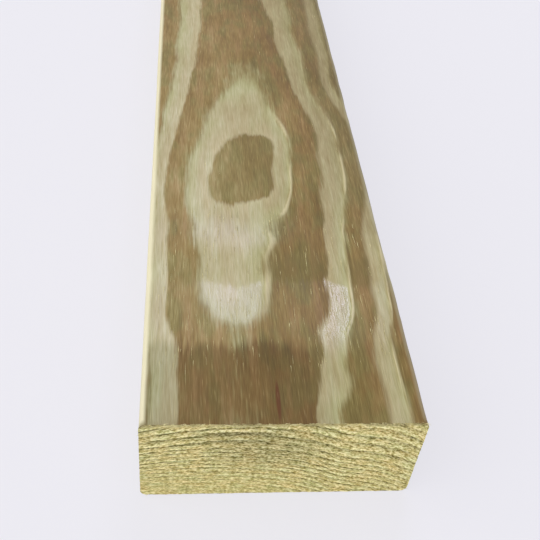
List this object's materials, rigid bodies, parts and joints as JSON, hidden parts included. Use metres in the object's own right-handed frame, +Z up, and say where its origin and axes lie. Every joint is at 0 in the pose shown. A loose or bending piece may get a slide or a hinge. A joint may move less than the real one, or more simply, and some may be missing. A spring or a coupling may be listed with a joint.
{
  "type": "timber lumber plank",
  "caption": "Straight dressed softwood plank of rectangular section with eased long edges and square-sawn ends, laid flat; framing and decking stock.",
  "frame": {"origin": "middle of the wide face that the plank lies on", "axes": "+Z up through the thickness, Y along the length with the pictured sawn end at -Y, X across the width"},
  "size_m": [0.0888, 2.4384, 0.0381],
  "materials": {
    "treated_pine": "planed, pressure-treated with a green tint, sawn ends"
  },
  "bodies": {
    "root": {"plank": "treated_pine"}
  },
  "joints": []
}
